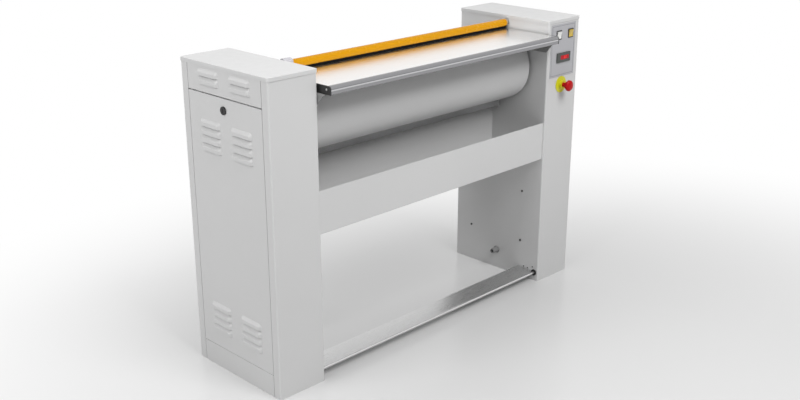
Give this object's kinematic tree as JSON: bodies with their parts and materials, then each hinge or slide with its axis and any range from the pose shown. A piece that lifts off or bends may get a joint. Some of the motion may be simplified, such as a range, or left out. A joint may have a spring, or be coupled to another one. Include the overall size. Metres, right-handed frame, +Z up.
{
  "type": "flatwork ironer",
  "caption": "Flatwork ironer: a padded roll over a heated curved chest between tall sheet-metal cabinets, with feed table, finger guard, linen tray and foot bar.",
  "frame": {"origin": "middle of the overall footprint on the floor", "axes": "+X to the right of the person at the machine, along the roll; +Y to the back; +Z up"},
  "size_m": [1.45, 0.468, 1],
  "materials": {
    "white_paint": "light grey-white powder coat, fine orange peel",
    "tray_paint": "light grey powder coat",
    "cover_steel": "galvanised sheet steel",
    "table_steel": "satin polished stainless sheet",
    "nose_aluminium": "natural anodised extrusion",
    "black_plastic": "black moulded nylon",
    "guard_paint": "yellow-orange powder coat",
    "roll_cloth": "pale grey felt and cotton roll covering",
    "machined_steel": "turned and ground steel",
    "bright_steel": "bright round bar",
    "cast_grey": "grey painted casting",
    "motor_paint": "blue-grey motor enamel",
    "chain_steel": "oiled chain steel",
    "chest_metal": "polished curved chest plate",
    "bronze": "sintered bronze",
    "zinc": "zinc plated steel",
    "panel_grey": "light grey control panel sheet",
    "meter_grey": "dark grey-green instrument case",
    "display_red": "red display window",
    "key_yellow": "yellow rocker key",
    "key_white": "white rocker key",
    "label_yellow": "yellow emergency disc",
    "stop_red": "red mushroom head",
    "component_grey": "light grey moulded electrical parts"
  },
  "bodies": {
    "root": {"left_casing": "white_paint", "right_casing": "white_paint", "left_cap": "white_paint", "right_cap": "white_paint", "left_band": "white_paint", "right_band": "white_paint", "left_base": "white_paint", "right_base": "white_paint", "tray": "tray_paint", "rear_cover": "white_paint", "feed_table": "table_steel", "table_nose": "nose_aluminium", "nose_end_caps": "black_plastic", "end_cap_screws": "zinc", "table_brackets": "cover_steel", "roll_bearings": "cast_grey", "drive_chain": "chain_steel", "gearmotor": "motor_paint", "motor_bracket": "zinc", "chest_bushes": "bronze", "chest_actuator": "component_grey", "guard_pins": "machined_steel", "foot_pivots": "machined_steel", "foot_switch": "component_grey", "control_plate": "panel_grey", "thermostat": "meter_grey", "thermostat_display": "display_red", "rocker_frames": "black_plastic", "stop_disc": "label_yellow", "stop_body": "label_yellow", "cable_gland": "black_plastic", "electrics_plate": "zinc", "contactors": "component_grey", "wall_screws": "zinc"},
    "roll": {"roll_tube": "machined_steel", "roll_padding": "roll_cloth", "roll_ends": "machined_steel", "roll_sprocket": "machined_steel"},
    "pinion": {"motor_sprocket": "machined_steel"},
    "chest": {"chest_plate": "chest_metal", "chest_cover": "cover_steel", "chest_ends": "cover_steel", "heating_elements": "machined_steel", "chest_shafts": "machined_steel", "chest_lever": "machined_steel"},
    "lift_rod": {"actuator_rod": "machined_steel"},
    "guard": {"guard_bar": "guard_paint", "guard_end": "zinc", "guard_arms": "zinc"},
    "foot_bar": {"foot_bar": "bright_steel", "foot_bar_rings": "black_plastic", "foot_arms": "zinc"},
    "left_door": {"left_door": "white_paint"},
    "right_door": {"right_door": "white_paint"},
    "left_lock": {"left_lock": "black_plastic"},
    "right_lock": {"right_lock": "black_plastic"},
    "yellow_rocker": {"yellow_rocker": "key_yellow"},
    "white_rocker": {"white_rocker": "key_white"},
    "stop_stem": {"stop_stem": "component_grey"},
    "stop_head": {"stop_head": "stop_red"}
  },
  "joints": [
    {"name": "roll_spin", "type": "hinge", "parent": "root", "child": "roll", "pos_m": [0, 0.015, 0.8235], "axis": [1, 0, 0], "continuous": true},
    {"name": "pinion_spin", "type": "hinge", "parent": "root", "child": "pinion", "pos_m": [-0.5775, 0.015, 0.61721], "axis": [1, 0, 0], "continuous": true},
    {"name": "chest_swing", "type": "hinge", "parent": "root", "child": "chest", "pos_m": [0, 0.164, 0.905], "axis": [-1, 0, 0], "range_deg": [0, 5]},
    {"name": "lift_slide", "type": "slide", "parent": "root", "child": "lift_rod", "axis": [0, 0, -1], "range_m": [0, 0.004]},
    {"name": "guard_lift", "type": "hinge", "parent": "root", "child": "guard", "pos_m": [0, 0.038, 0.974], "axis": [-1, 0, 0], "range_deg": [0, 20]},
    {"name": "foot_press", "type": "hinge", "parent": "root", "child": "foot_bar", "pos_m": [0, -0.046, 0.045], "axis": [1, 0, 0], "range_deg": [0, 2.87], "stiffness_Nm_per_rad": 40, "springref_deg": -5.73},
    {"name": "left_door_tilt", "type": "hinge", "parent": "root", "child": "left_door", "pos_m": [-0.711, 0.0225, 0.07275], "axis": [0, -1, 0], "range_deg": [0, 10]},
    {"name": "right_door_tilt", "type": "hinge", "parent": "root", "child": "right_door", "pos_m": [0.711, 0.0225, 0.07275], "axis": [0, 1, 0], "range_deg": [0, 10]},
    {"name": "left_lock_turn", "type": "hinge", "parent": "left_door", "child": "left_lock", "pos_m": [-0.71, 0.026, 0.87], "axis": [1, 0, 0], "range_deg": [0, 90]},
    {"name": "right_lock_turn", "type": "hinge", "parent": "right_door", "child": "right_lock", "pos_m": [0.71, 0.026, 0.87], "axis": [1, 0, 0], "range_deg": [0, 90]},
    {"name": "yellow_rocker_tip", "type": "hinge", "parent": "root", "child": "yellow_rocker", "pos_m": [0.6675, -0.185, 0.943], "axis": [-1, 0, 0], "range_deg": [0, 16]},
    {"name": "white_rocker_tip", "type": "hinge", "parent": "root", "child": "white_rocker", "pos_m": [0.599, -0.185, 0.943], "axis": [-1, 0, 0], "range_deg": [0, 16]},
    {"name": "stop_press", "type": "slide", "parent": "root", "child": "stop_stem", "axis": [0, 1, 0], "range_m": [0, 0.004], "stiffness_N_per_m": 600, "springref_m": -0.004},
    {"name": "stop_twist", "type": "hinge", "parent": "stop_stem", "child": "stop_head", "pos_m": [0.6245, -0.21, 0.76], "axis": [0, 1, 0], "range_deg": [0, 30], "stiffness_Nm_per_rad": 0.02, "springref_deg": -11.46}
  ],
  "couplings": [
    {"joint": "pinion_spin", "follows": "roll_spin", "ratio": 2},
    {"joint": "lift_slide", "follows": "chest_swing", "m_per_rad": 0.045}
  ]
}
